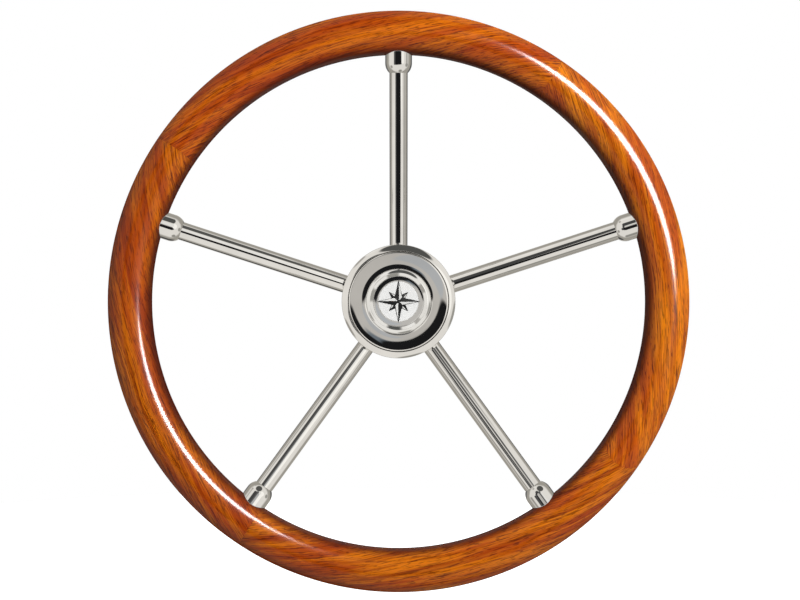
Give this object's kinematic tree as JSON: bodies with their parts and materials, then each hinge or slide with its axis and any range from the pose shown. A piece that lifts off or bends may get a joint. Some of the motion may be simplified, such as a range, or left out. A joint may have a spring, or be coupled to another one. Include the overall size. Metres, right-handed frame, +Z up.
{
  "type": "ship steering wheel",
  "caption": "Dished boat steering wheel: round varnished wooden rim on tubular polished steel spokes, domed hub with pull-off cap, keyed to a short helm shaft that turns in a flanged bearing.",
  "frame": {"origin": "on the shaft's axis, where the five spoke axes meet inside the hub; it is also the centre of the overall box", "axes": "+Z up along the first spoke, +Y back along the shaft, away from the helmsman, +X to the helmsman's right; the front faces -Y"},
  "size_m": [0.4, 0.102, 0.4],
  "materials": {
    "varnished_teak": "gloss",
    "mirror_steel": "polished",
    "plain_steel": "satin",
    "chrome_cap": "polished",
    "emblem_silver": "satin",
    "rose_enamel": "gloss",
    "seal_rubber": "matte",
    "bush_bronze": "satin"
  },
  "bodies": {
    "helm_bearing": {"bearing_flange": "plain_steel", "bearing_bush": "bush_bronze"},
    "wheel": {"rim_segment_1": "varnished_teak", "rim_segment_2": "varnished_teak", "rim_segment_3": "varnished_teak", "rim_segment_4": "varnished_teak", "spoke_1": "mirror_steel", "spoke_2": "mirror_steel", "spoke_3": "mirror_steel", "spoke_4": "mirror_steel", "spoke_5": "mirror_steel", "spoke_ferrule_1": "mirror_steel", "spoke_ferrule_2": "mirror_steel", "spoke_ferrule_3": "mirror_steel", "spoke_ferrule_4": "mirror_steel", "spoke_ferrule_5": "mirror_steel", "rim_stud_1": "plain_steel", "rim_stud_2": "plain_steel", "rim_stud_3": "plain_steel", "rim_stud_4": "plain_steel", "rim_stud_5": "plain_steel", "hub_body": "mirror_steel", "hub_cover": "mirror_steel", "helm_shaft": "plain_steel", "shaft_key": "plain_steel", "shaft_nut": "plain_steel", "nut_washer": "plain_steel", "shaft_circlip": "plain_steel"},
    "cap": {"centre_cap": "chrome_cap", "cap_seal": "seal_rubber", "emblem_disc": "emblem_silver", "compass_rose": "rose_enamel"}
  },
  "joints": [
    {"name": "wheel_spin", "type": "hinge", "parent": "helm_bearing", "child": "wheel", "pos_m": [0, 0, 0], "axis": [0, 1, 0], "continuous": true},
    {"name": "cap_pull", "type": "slide", "parent": "wheel", "child": "cap", "axis": [0, -1, 0], "range_m": [0, 0.06]}
  ]
}
